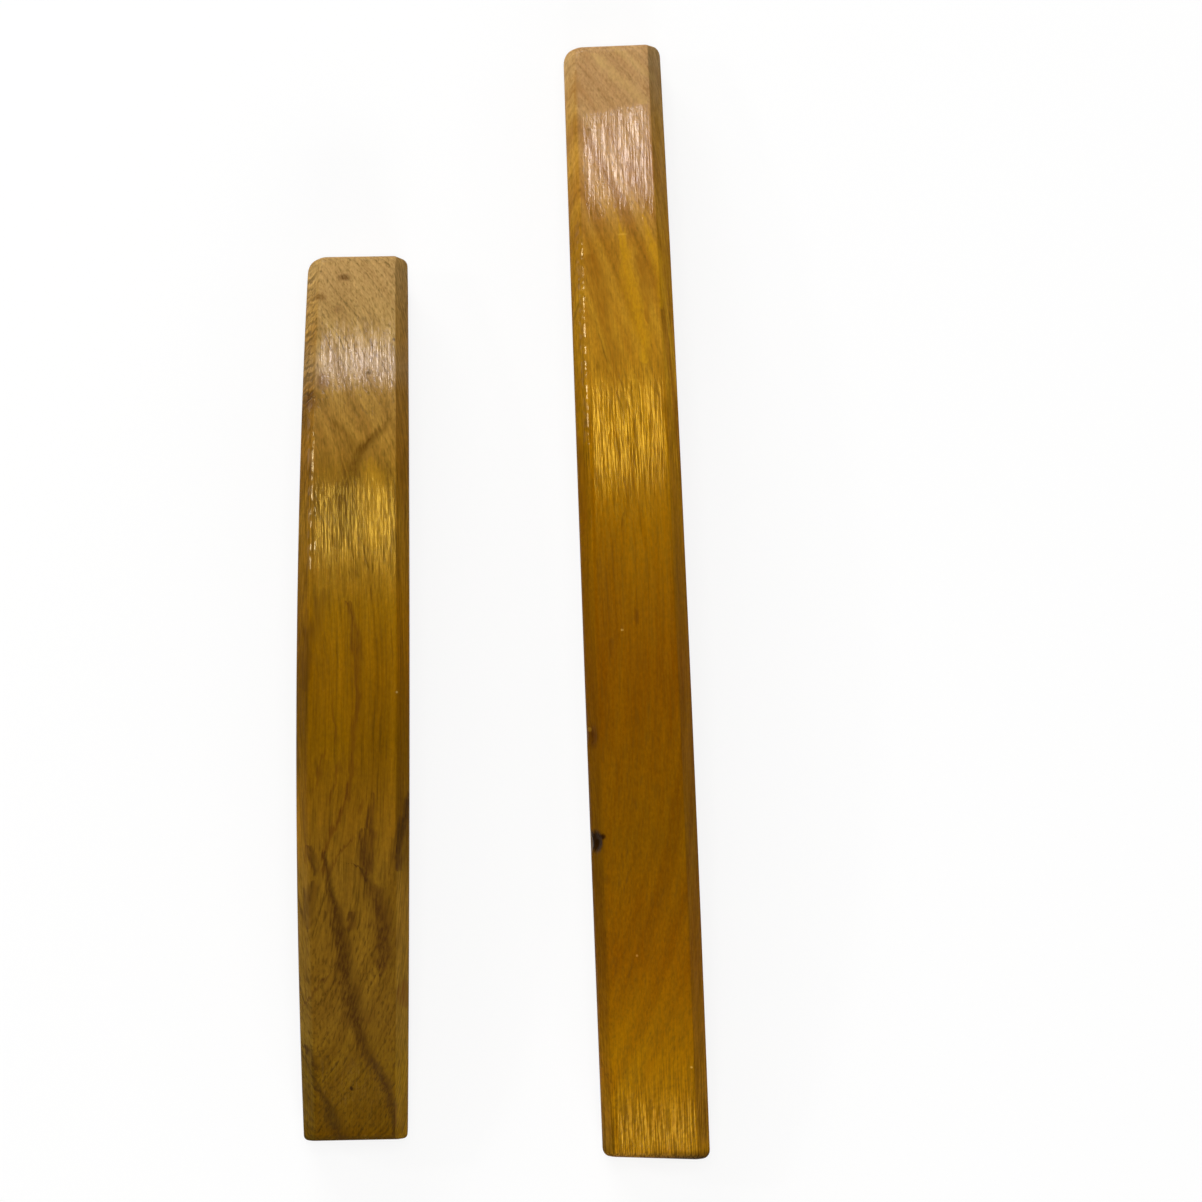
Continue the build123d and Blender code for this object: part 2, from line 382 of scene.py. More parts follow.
    # Pores are 0.25 mm wide and centimetres long, in rows that follow the rings. They are drawn 0.6 mm wide
    # along their rows, and the fibres' ends between them, of 0.1 to 0.2 mm, as a speckle of 0.5 mm, so that
    # both still show.
    row_way = (-sin(lean), 0.0, cos(lean))
    across = add(tree, "Math", {0: year, 1: RING_GAP}, operation="MULTIPLY")
    in_row = add(tree, "VectorMath", {0: grain, 1: row_way}, out="Value", operation="DOT_PRODUCT")
    fine = add(tree, "CombineXYZ", {0: across, 1: y, 2: in_row})
    fine = add(tree, "VectorMath", {0: fine, 1: per_mm(PORE)}, operation="MULTIPLY")
    fibre = add(tree, "TexNoise", {"Vector": fine, "Scale": 1.0, "Detail": 1.0, "Roughness": 0.5})
    first_open, all_open = figure["pore_open"]
    open_pore = add(tree, "MapRange", {0: fibre, 1: first_open, 2: all_open}, interpolation_type="SMOOTHSTEP")
    in_band = add(tree, "MapRange", {0: band, 3: 0.35, 4: 1.0})
    pore = add(tree, "Math", {0: open_pore, 1: in_band}, operation="MULTIPLY")
    speckled = add(tree, "VectorMath", {0: grain, 1: per_mm(SPECKLE)}, operation="MULTIPLY")
    speckle = add(tree, "TexNoise", {"Vector": speckled, "Scale": 1.0, "Detail": 1.5, "Roughness": 0.6})

    # Brush strokes run along the stick in its varnish, about 0.6 mm from one ridge to the next. They catch
    # the light, and the colour is painted lighter on their ridges and darker between them as painted glints.
    skin = add(tree, "CombineXYZ", {0: x, 1: y, 2: depth})
    skin = add(tree, "VectorMath", {0: skin, 1: per_mm(figure["stroke_size"])}, operation="MULTIPLY")
    stroke = add(tree, "TexNoise", {"Vector": skin, "Scale": 1.0, "Detail": 1.5, "Roughness": 0.5})
    ridged = {0: stroke, 1: 0.4, 2: 0.6, 3: -1.0, 4: 1.0}
    ridge = add(tree, "MapRange", ridged, interpolation_type="SMOOTHSTEP")

    # Groups of rings are browner or more golden, and so are flecks of the wood.
    group = add(tree, "Math", {0: year, 1: GROUPS_PER_RING}, operation="MULTIPLY")
    stripe = add(tree, "TexNoise", {"W": group, "Scale": 1.0, "Detail": 1.0}, noise_dimensions="1D")
    broad = add(tree, "VectorMath", {0: grain, 1: per_mm(FLECK)}, operation="MULTIPLY")
    fleck = add(tree, "TexNoise", {"Vector": broad, "Scale": 1.0, "Detail": 2.0})
    warmth = add(tree, "Math", {0: stripe, 1: fleck}, operation="ADD")
    warmth = add(tree, "MapRange", {0: warmth, 1: 0.75, 2: 1.25, 3: -0.5, 4: 0.5})
    liveliness = add(tree, "ValToRGB", {0: along}, stops=placed(figure["liveliness"]))
    warmth = add(tree, "Math", {0: warmth, 1: liveliness}, operation="MULTIPLY")
    warmth = add(tree, "Math", {0: warmth, 1: 0.5}, operation="ADD")
    browner, yellower = figure["browner"] + (1.0,), figure["yellower"] + (1.0,)
    tint = add(tree, "Mix", {0: warmth, 6: browner, 7: yellower}, out=2, data_type="RGBA")

    # The tone of the wood and varnish from tail to head, which also holds painted light and shade, shaded by
    # the rings, fibres and speckle, with painted glints along the strokes and the stain that has sunk into
    # the pores.
    tone_and_painted_light = add(tree, "ValToRGB", {0: along}, stops=placed((at, linear(colour)) for at, colour in tones_and_painted_light))
    ring_depth = add(tree, "ValToRGB", {0: along}, stops=placed(figure["ring_depth"]))
    ring_shade = add(tree, "MapRange", {0: band, 3: 0.4, 4: -1.0})
    ring_shade = add(tree, "Math", {0: ring_shade, 1: ring_depth}, operation="MULTIPLY")
    ring_shade = add(tree, "Math", {0: ring_shade, 1: 1.0}, operation="ADD")
    darkest = figure["fibre_depth"]
    fibre_shade = add(tree, "MapRange", {0: fibre, **MID_NOISE, 3: 1 + darkest, 4: 1 - darkest})
    darkest = figure["speckle_depth"]
    speckle_shade = add(tree, "MapRange", {0: speckle, **MID_NOISE, 3: 1 - darkest, 4: 1 + darkest})
    shade = add(tree, "Math", {0: ring_shade, 1: fibre_shade}, operation="MULTIPLY")
    shade = add(tree, "Math", {0: shade, 1: speckle_shade}, operation="MULTIPLY")
    # Painted glints: the colour is lighter on the stroke ridges and darker between them.
    painted_glint = add(tree, "ValToRGB", {0: along}, stops=placed(figure["painted_glint_depth"]))
    painted_glint = add(tree, "Math", {0: ridge, 1: painted_glint, 2: 1.0}, operation="MULTIPLY_ADD")
    shade = add(tree, "Math", {0: shade, 1: painted_glint}, operation="MULTIPLY")
    wood = add(tree, "VectorMath", {0: tone_and_painted_light, 1: tint}, operation="MULTIPLY")
    wood = add(tree, "VectorMath", {0: wood, "Scale": shade}, operation="SCALE")
    pore_depth = add(tree, "ValToRGB", {0: along}, stops=placed(figure["pore_depth"]))
    pore_share = add(tree, "Math", {0: pore, 1: pore_depth}, operation="MULTIPLY")
    wood = add(tree, "Mix", {0: pore_share, 6: wood, 7: linear(pore_colour)}, out=2, data_type="RGBA")

    # Veins and spots have ragged edges and are patchy inside. They fade out some way below the outer face.
    ragged = add(tree, "VectorMath", {0: mm, 1: per_mm(RAG)}, operation="MULTIPLY")
    rag = add(tree, "TexNoise", {"Vector": ragged, "Scale": 1.0, "Detail": 2.5})
    rag_shift = add(tree, "MapRange", {0: rag, **MID_NOISE, 3: -0.6, 4: 0.6})
    ragged_x = add(tree, "Math", {0: x, 1: rag_shift}, operation="ADD")
    fibre_shift = add(tree, "MapRange", {0: fibre, **MID_NOISE, 3: -0.35, 4: 0.35})
    ragged_x = add(tree, "Math", {0: ragged_x, 1: fibre_shift}, operation="ADD")
    patchy = add(tree, "MapRange", {0: speckle, 1: 0.3, 2: 0.6, 3: 0.6, 4: 1.0})
    streaky = add(tree, "MapRange", {0: fibre, 1: 0.35, 2: 0.6, 3: 0.8, 4: 1.15})
    patchy = add(tree, "Math", {0: patchy, 1: streaky}, operation="MULTIPLY")
    patchy = faded(patchy, [(depth, *VEIN_DEPTHS)])
    for points, share, colour in veins:
        at_x, at_y, girths = zip(*points)
        low_x = min(at_x) - 1
        wide = max(at_x) + 1 - low_x
        widest = max(girths) + 1
        at = add(tree, "MapRange", {0: y, 1: at_y[0], 2: at_y[-1]})
        spread = [(p - at_y[0]) / (at_y[-1] - at_y[0]) for p in at_y]
        centre = [(s, (p - low_x) / wide) for s, p in zip(spread, at_x)]
        centre = add(tree, "FloatCurve", {1: at}, points=centre)
        centre = add(tree, "MapRange", {0: centre, 3: low_x, 4: low_x + wide})
        girth = add(tree, "FloatCurve", {1: at}, points=[(s, p / widest) for s, p in zip(spread, girths)])
        girth = add(tree, "MapRange", {0: girth, 3: 0.0, 4: widest})
        off = add(tree, "Math", {0: ragged_x, 1: centre}, operation="SUBTRACT")
        off = add(tree, "Math", {0: off}, operation="ABSOLUTE")
        inside = {0: off, 1: girth, 2: 0.0, 3: 0.0, 4: share}
        inside = add(tree, "MapRange", inside, interpolation_type="SMOOTHSTEP")
        inside = faded(inside, [(girth, 0.1, 0.5)])
        inside = add(tree, "Math", {0: inside, 1: patchy}, operation="MULTIPLY")
        wood = add(tree, "Mix", {0: inside, 6: wood, 7: linear(colour)}, out=2, data_type="RGBA")
    spot_ragged = add(tree, "Mix", {0: 0.4, 2: x, 3: ragged_x})
    for spot_x, spot_y, wide, long, share, colour in spots:
        off = add(tree, "CombineXYZ", {0: spot_ragged, 1: y})
        off = add(tree, "VectorMath", {0: off, 1: (spot_x, spot_y, 0)}, operation="SUBTRACT")
        off = add(tree, "VectorMath", {0: off, 1: (1 / wide, 1 / long, 0)}, operation="MULTIPLY")
        off = add(tree, "VectorMath", {0: off}, out="Value", operation="LENGTH")
        inside = {0: off, 1: 1.0, 2: 0.3, 3: 0.0, 4: share}
        inside = add(tree, "MapRange", inside, interpolation_type="SMOOTHSTEP")
        inside = add(tree, "Math", {0: inside, 1: patchy}, operation="MULTIPLY")
        wood = add(tree, "Mix", {0: inside, 6: wood, 7: linear(colour)}, out=2, data_type="RGBA")

    # Painted light and shade on the bevels: their brightness and tint against the outer face, set to how the
    # lamps fall on them and colour them. A ramp can't hold more than 1, so both are halved in the ramp and
    # doubled after it.
    facing = add(tree, "SeparateXYZ", {0: add(tree, "TexCoord", out="Normal")})
    sideways = add(tree, "Math", {0: facing}, operation="ABSOLUTE")
    sideways = add(tree, "MapRange", {0: sideways, **BEVEL_EDGE}, interpolation_type="SMOOTHSTEP")
    for sign, stops in zip((-1, 1), bevel_light_and_shade):
        turned = add(tree, "Math", {0: facing, 1: sign}, operation="MULTIPLY")
        on_bevel = add(tree, "MapRange", {0: turned, **BEVEL_EDGE}, interpolation_type="SMOOTHSTEP")
        bevel_painted_shade = add(tree, "ValToRGB", {0: along}, stops=placed((at, v / 2) for at, v in stops))
        bevel_painted_shade = add(tree, "Math", {0: bevel_painted_shade, 1: 2.0}, operation="MULTIPLY")
        bevel_painted_shade = add(tree, "Mix", {0: on_bevel, 2: 1.0, 3: bevel_painted_shade})
        wood = add(tree, "VectorMath", {0: wood, "Scale": bevel_painted_shade}, operation="SCALE")
    halves = placed((at, (r / 2, g / 2, b / 2, 1.0)) for at, (r, g, b) in bevel_painted_tint)
    painted_tint = add(tree, "ValToRGB", {0: along}, stops=halves)
    painted_tint = add(tree, "VectorMath", {0: painted_tint, "Scale": 2.0}, operation="SCALE")
    painted_tint = add(tree, "VectorMath", {0: wood, 1: painted_tint}, operation="MULTIPLY")
    wood = add(tree, "Mix", {0: sideways, 6: wood, 7: painted_tint}, out=2, data_type="RGBA")

    # The varnish sinks into the pores. Its brush strokes stand up, and so does the speckle of the wood.
    dip = add(tree, "Math", {0: pore, 1: figure["pore_dip"]}, operation="MULTIPLY")
    height = add(tree, "Math", {0: stroke, 1: dip}, operation="SUBTRACT")
    grit_height = add(tree, "Math", {0: speckle, 1: figure["speckle_bump"]}, operation="MULTIPLY")
    height = add(tree, "Math", {0: height, 1: grit_height}, operation="ADD")

    # The rasp has left slanting marks across a bevel, darker where they are deeper.
    if rasped:
        low_y, high_y, mark_gap, mark_strength = rasped
        mark = add(tree, "Math", {0: x, 1: RASP_SLANT}, operation="MULTIPLY")
        mark = add(tree, "Math", {0: mark, 1: y}, operation="ADD")
        mark = add(tree, "Math", {0: mark, 1: rag_shift}, operation="ADD")
        mark = add(tree, "Math", {0: mark, 1: 1 / mark_gap}, operation="MULTIPLY")
        mark = add(tree, "TexNoise", {"W": mark, "Scale": 1.0, "Detail": 1.5}, noise_dimensions="1D")
        mark = add(tree, "MapRange", {0: mark, 1: 0.35, 2: 0.65, 3: -1.0, 4: 1.0})
        ends = [(y, low_y, low_y + 5.0), (y, high_y, high_y - 4.0)]
        mark = faded(mark, [(x, *RASP_EDGE), (depth, *RASP_DEPTH)] + ends)
        mark = add(tree, "Math", {0: mark, 1: mark_strength}, operation="MULTIPLY")
        mark_shade = add(tree, "Math", {0: mark, 1: 1.0}, operation="ADD")
        wood = add(tree, "VectorMath", {0: wood, "Scale": mark_shade}, operation="SCALE")
        height = add(tree, "Math", {0: mark, 1: 4.0, 2: height}, operation="MULTIPLY_ADD")
    normal = add(tree, "Bump", {"Height": height, "Strength": 1.0, "Distance": STROKE_HEIGHT * MM})

    # The varnish lies thick on the heads and is rubbed thin along the middle, where the hands hold, round
    # the ends and on the bevels.
    varnish = add(tree, "ValToRGB", {0: along}, stops=placed(coat))
    worn_from, worn_to = (length / 2 - rim for rim in WORN_RIM)
    worn = add(tree, "MapRange", {0: side, 1: worn_from, 2: worn_to, 3: 0.0, 4: 1.0})
    kept = add(tree, "MapRange", {0: worn, 3: 1.0, 4: 0.1})
    varnish = add(tree, "Math", {0: varnish, 1: kept}, operation="MULTIPLY")
    brushed = add(tree, "MapRange", {0: ridge, 1: -0.6, 2: 0.6, 3: 0.25, 4: 1.0})
    varnish = add(tree, "Math", {0: varnish, 1: brushed}, operation="MULTIPLY")
    thinned = add(tree, "MapRange", {0: sideways, 3: 1.0, 4: 0.3})
    varnish = add(tree, "Math", {0: varnish, 1: thinned}, operation="MULTIPLY")

    # A ridge of it along the soft left edge has dried in drops.
    from_x, to_x, from_y, to_y, drop_gap = edge_gloss
    beads = add(tree, "VectorMath", {0: mm, 1: (1.0, 1 / drop_gap, 1.0)}, operation="MULTIPLY")
    beads = add(tree, "TexNoise", {"Vector": beads, "Scale": 1.0, "Detail": 0.0})
    beads = add(tree, "MapRange", {0: beads, 1: 0.45, 2: 0.56})
    beads = faded(beads, [(x, from_x, from_x + 0.4), (x, to_x, to_x - 0.4)])
    beads = faded(beads, [(y, from_y, from_y + 4.0), (y, to_y, to_y - 4.0)])
    varnish = add(tree, "Math", {0: varnish, 1: beads}, operation="MAXIMUM")

    # The wood is duller in its pores, on the bevels, between the strokes and round the worn ends.
    dull = add(tree, "ValToRGB", {0: along}, stops=placed(matt))
    dull = add(tree, "Mix", {0: sideways, 2: dull, 3: 0.5})
    rough = add(tree, "Mix", {0: pore, 2: dull, 3: 0.5})
    hollow = add(tree, "MapRange", {0: ridge, 1: 0.5, 2: -0.5, 3: 0.0, 4: 0.25})
    rough = add(tree, "Math", {0: rough, 1: hollow}, operation="ADD")
    worn_dull = add(tree, "MapRange", {0: worn, 3: 0.0, 4: 0.35})
    rough = add(tree, "Math", {0: rough, 1: worn_dull}, operation="ADD")

    # Wood and varnish both have an IOR of about 1.5. The sanded wood under the varnish hardly shines.
    finish = {
        "Base Color": wood,
        "Roughness": rough,
        "Normal": normal,
        "IOR": 1.5,
        "Specular IOR Level": 0.16,
        "Specular Tint": linear("#FFE459"),
        "Coat Weight": varnish,
        "Coat Roughness": 0.08,
        "Coat IOR": 1.5,
        "Coat Normal": normal,
    }
    shader = add(tree, "BsdfPrincipled", finish)
    add(tree, "OutputMaterial", {"Surface": shader}, out=None)
    return material


LONG_LENGTH = 249.0
LONG_END_RADIUS = 400.0
LONG_TURN = 2.3
long_clave = make_stick(
    "long_clave_stick",
    length=LONG_LENGTH,
    end_radius=LONG_END_RADIUS,
    heads=(10.75, 10.75),
    middles=(11.5, 11.9),
    tails=(11.8, 12.1),
    skews=(0.0, -4.0),
    end_corners=(((2.6, 3.2), (1.9, 2.5)), ((1.4, 1.9), (2.0, 2.0))),
    radii=(0.9, 2.2, 2.8, 0.6, 0.9, 0.9, 0.9, 0.9),
    facet=(109.0, 112.2, 4.0),
    dents=[(-10.6, -29.3, 1.4, 3.0, 0.5), (-10.9, -53.2, 1.9, 3.0, 1.0)],
)
long_middle = stand_like(long_clave, "long_clave", LONG_TURN)
# Pale, straight-grained wood with few open pores. The varnish is amber, nearly white where the lamps lie in
# it at the head, and smooth: its strokes show as fine bright streaks.
long_wood = varnished_wood(
    "amber_varnished_hardwood",
    middle=long_middle,
    turn=LONG_TURN,
    length=LONG_LENGTH,
    end_radius=LONG_END_RADIUS,
    top=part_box("long_clave")[1].z / MM,
    # The wood's tone along the stick, part real and part painted light: a painted shadow along the tail's
    # lower rim, and paler towards the head, partly as a painted sheen.
    tones_and_painted_light=[
        (-124.3, "#2F1D04"), (-123.5, "#6E4806"), (-122.6, "#966609"), (-101, "#905F03"), (-80, "#7F4D02"),
        (-53, "#754A02"), (-13, "#784700"), (0, "#7A4A00"), (20, "#865500"), (40, "#916005"),
        (57, "#A07019"), (80, "#99691C"), (96, "#A3763F"), (110, "#A88052"), (124, "#AB8457"),
    ],
    # Painted light and shade on the left and the right bevels.
    bevel_light_and_shade=(
        [
            (-120, 0.6), (-106, 0.85), (-78, 0.7), (-33, 0.85), (0, 1.0), (20, 0.95), (34, 0.8), (50, 0.9),
            (80, 0.85), (92, 1.1), (107, 0.95), (118, 1.1),
        ],
        [
            (-120, 0.85), (-106, 0.75), (-78, 0.9), (0, 1.0), (50, 1.05), (67, 0.95), (92, 0.8), (107, 0.7),
            (118, 0.65),
        ],
    ),
    # A painted tint of the bevels, for how the lamps colour them.
    bevel_painted_tint=[
        (-124, (0.99, 1.0, 0.5)), (-105, (0.99, 0.95, 0.2)), (-78, (0.98, 1.0, 0.15)),
        (-33, (0.98, 0.99, 0.3)), (0, (0.97, 1.06, 0.15)), (34, (0.98, 1.02, 0.5)), (67, (0.99, 0.99, 0.55)),
        (90, (0.99, 0.96, 0.38)), (107, (0.99, 0.9, 0.36)), (120, (1.0, 1.05, 0.97)),
    ],
    pore_colour="#5A3A0C",
    figure={
        "wander_size": (14, 60, 14),
        "wander": (1.2, 0.0, 1.2),
        "ring_depth": [(-124, 0.03), (-60, 0.03), (20, 0.035), (60, 0.14), (124, 0.12)],
        "browner": (0.84, 0.77, 0.70),
        "yellower": (1.16, 1.23, 1.25),
        "liveliness": [(-124, 0.5), (-90, 0.4), (-60, 0.6), (10, 0.6), (40, 1.0), (90, 1.0), (112, 0.6)],
        "fibre_depth": 0.07,
        "speckle_depth": 0.13,
        "speckle_bump": 0.1,
        "pore_open": (0.56, 0.68),
        "pore_depth": [(-124, 0.45), (90, 0.4), (112, 0.25)],
        "pore_dip": 0.25,
        "stroke_size": (0.31, 10, 0.31),
        # painted glints along the strokes, strongest where the reflection bands lie
        "painted_glint_depth": [
            (-124, 0.38), (-112, 0.28), (-95, 0.08), (0, 0.03), (24, 0.06), (30, 0.2), (46, 0.2), (60, 0.1),
            (124, 0.04),
        ],
    },
    rasped=None,
    coat=[(-124, 0.05), (-100, 0.03), (60, 0.03), (84, 0.08), (92, 0.9), (112, 0.9), (118, 0.5)],
    matt=[(-124, 0.10), (124, 0.10)],
    edge_gloss=(-9.8, -7.6, 34.0, 86.0, 0.8),
    veins=[
        ([(4.7, 52.6, 0.0), (4.5, 57.8, 2.6), (3.9, 62.3, 3.1), (2.7, 67.9, 3.1), (1.6, 73.5, 2.6),
          (1.5, 74.5, 1.9), (0.9, 80.5, 1.2), (-1.4, 89.4, 0.0)], 0.6, "#BC8810"),
        ([(8.7, 64.3, 0.0), (8.9, 69.5, 2.0), (8.5, 74.7, 2.3), (7.1, 79.6, 1.5),
          (5.0, 88.5, 0.0)], 0.55, "#BC8810"),
        ([(-1.8, 44.3, 0.0), (-1.9, 47.7, 1.6), (-2.4, 53.2, 2.6), (-3.2, 60.7, 2.6), (-4.7, 68.2, 3.1),
          (-5.9, 75.3, 3.1), (-6.6, 77.6, 0.0)], 0.5, "#7A480A"),
        ([(6.1, 61.1, 0.0), (5.6, 65.9, 1.7), (4.7, 72.7, 2.1), (3.8, 77.2, 0.0)], 0.5, "#7A480A"),
        ([(-10.9, 14.4, 0.0), (-10.5, 20.1, 1.6), (-10.2, 26.4, 2.0), (-10.3, 31.5, 1.8),
          (-10.9, 37.7, 0.0)], 0.4, "#6A3206"),
        ([(-2.0, 15.0, 0.0), (-1.4, 17.9, 0.7), (-1.2, 22.0, 0.0)], 0.6, "#5A3406"),
        ([(-0.1, -5.9, 0.0), (0.4, -3.7, 0.7), (0.5, -0.4, 0.0)], 0.6, "#5A3406"),
        ([(-6.5, -14.2, 0.0), (-5.7, -11.3, 0.8), (-5.4, -7.2, 0.0)], 0.6, "#5A3406"),
        ([(6.8, 110.5, 0.0), (5.9, 112.0, 2.4), (2.0, 116.0, 2.8), (-1.8, 120.0, 2.6),
          (-4.0, 122.5, 0.0)], 0.5, "#C29E60"),
        ([(9.4, 115.8, 0.0), (7.9, 117.4, 2.2), (4.9, 120.0, 2.6), (1.9, 122.4, 2.2),
          (0.0, 124.2, 0.0)], 0.45, "#C29E60"),
        ([(-7.9, 110.0, 0.0), (-8.2, 112.6, 1.4), (-8.2, 115.5, 1.6), (-8.3, 119.3, 0.0)], 0.5, "#8A5A28"),
        ([(9.1, 108.5, 0.0), (9.1, 111.9, 2.3), (9.1, 115.6, 2.8), (8.5, 119.3, 0.0)], 0.3, "#80522A"),
        ([(0.4, 86.2, 0.0), (-0.2, 89.2, 1.4), (-1.8, 94.9, 1.6), (-3.5, 99.7, 1.6), (-5.2, 103.5, 1.4),
          (-5.8, 106.5, 0.0)], 0.55, "#8A5C20"),
        ([(7.5, 85.6, 0.0), (6.9, 88.9, 1.4), (5.2, 94.2, 1.6), (3.9, 99.5, 1.4),
          (3.1, 105.4, 0.0)], 0.5, "#8A5C20"),
    ],
    spots=[
        (-10.5, -52.9, 2.0, 3.3, 1.8, "#260C00"),
        (-8.9, -51.9, 0.9, 0.9, 1.2, "#280E02"),
        (-10.4, -29.6, 1.5, 3.4, 0.9, "#50280A"),
        (-10.9, -28.0, 0.6, 0.7, 0.7, "#A87A48"),
        (-5.5, 105.4, 0.9, 0.5, 0.5, "#5A3A10"),
        (0.7, 81.7, 1.6, 0.35, 0.3, "#E0B040"),
        (-2.8, -6.2, 0.35, 0.35, 0.5, "#C8A050"),
        (-2.4, -78.7, 0.35, 0.4, 0.5, "#C89040"),
        (8.6, -104.1, 0.5, 0.35, 0.6, "#E0B050"),
    ],
)
long_clave.data.materials.append(long_wood)
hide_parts("long_clave")
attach(long_clave, "long_clave")

# ======================================================================================================
# The short clave
# The striker: the same kind of stick sawn shorter, from a browner, figured piece with dark veins. It is
# sanded crisper on its right and worn on its left.
# ======================================================================================================

SHORT_LENGTH = 197.9
SHORT_END_RADIUS = 212.0
SHORT_TURN = 0.0
short_clave = make_stick(
    "short_clave_stick",
    length=SHORT_LENGTH,
    end_radius=SHORT_END_RADIUS,
    heads=(10.0, 12.1),
    middles=(12.5, 12.6),
    tails=(11.0, 12.1),
    skews=(-0.9, 1.2),
    end_corners=(((2.4, 2.9), (2.0, 1.8)), ((0.9, 1.0), (0.9, 1.0))),
    radii=(0.9, 1.6, 2.2, 0.5, 0.8, 0.9, 0.9, 0.9),
    facet=None,
    dents=[],
)
short_middle = stand_like(short_clave, "short_clave", SHORT_TURN)
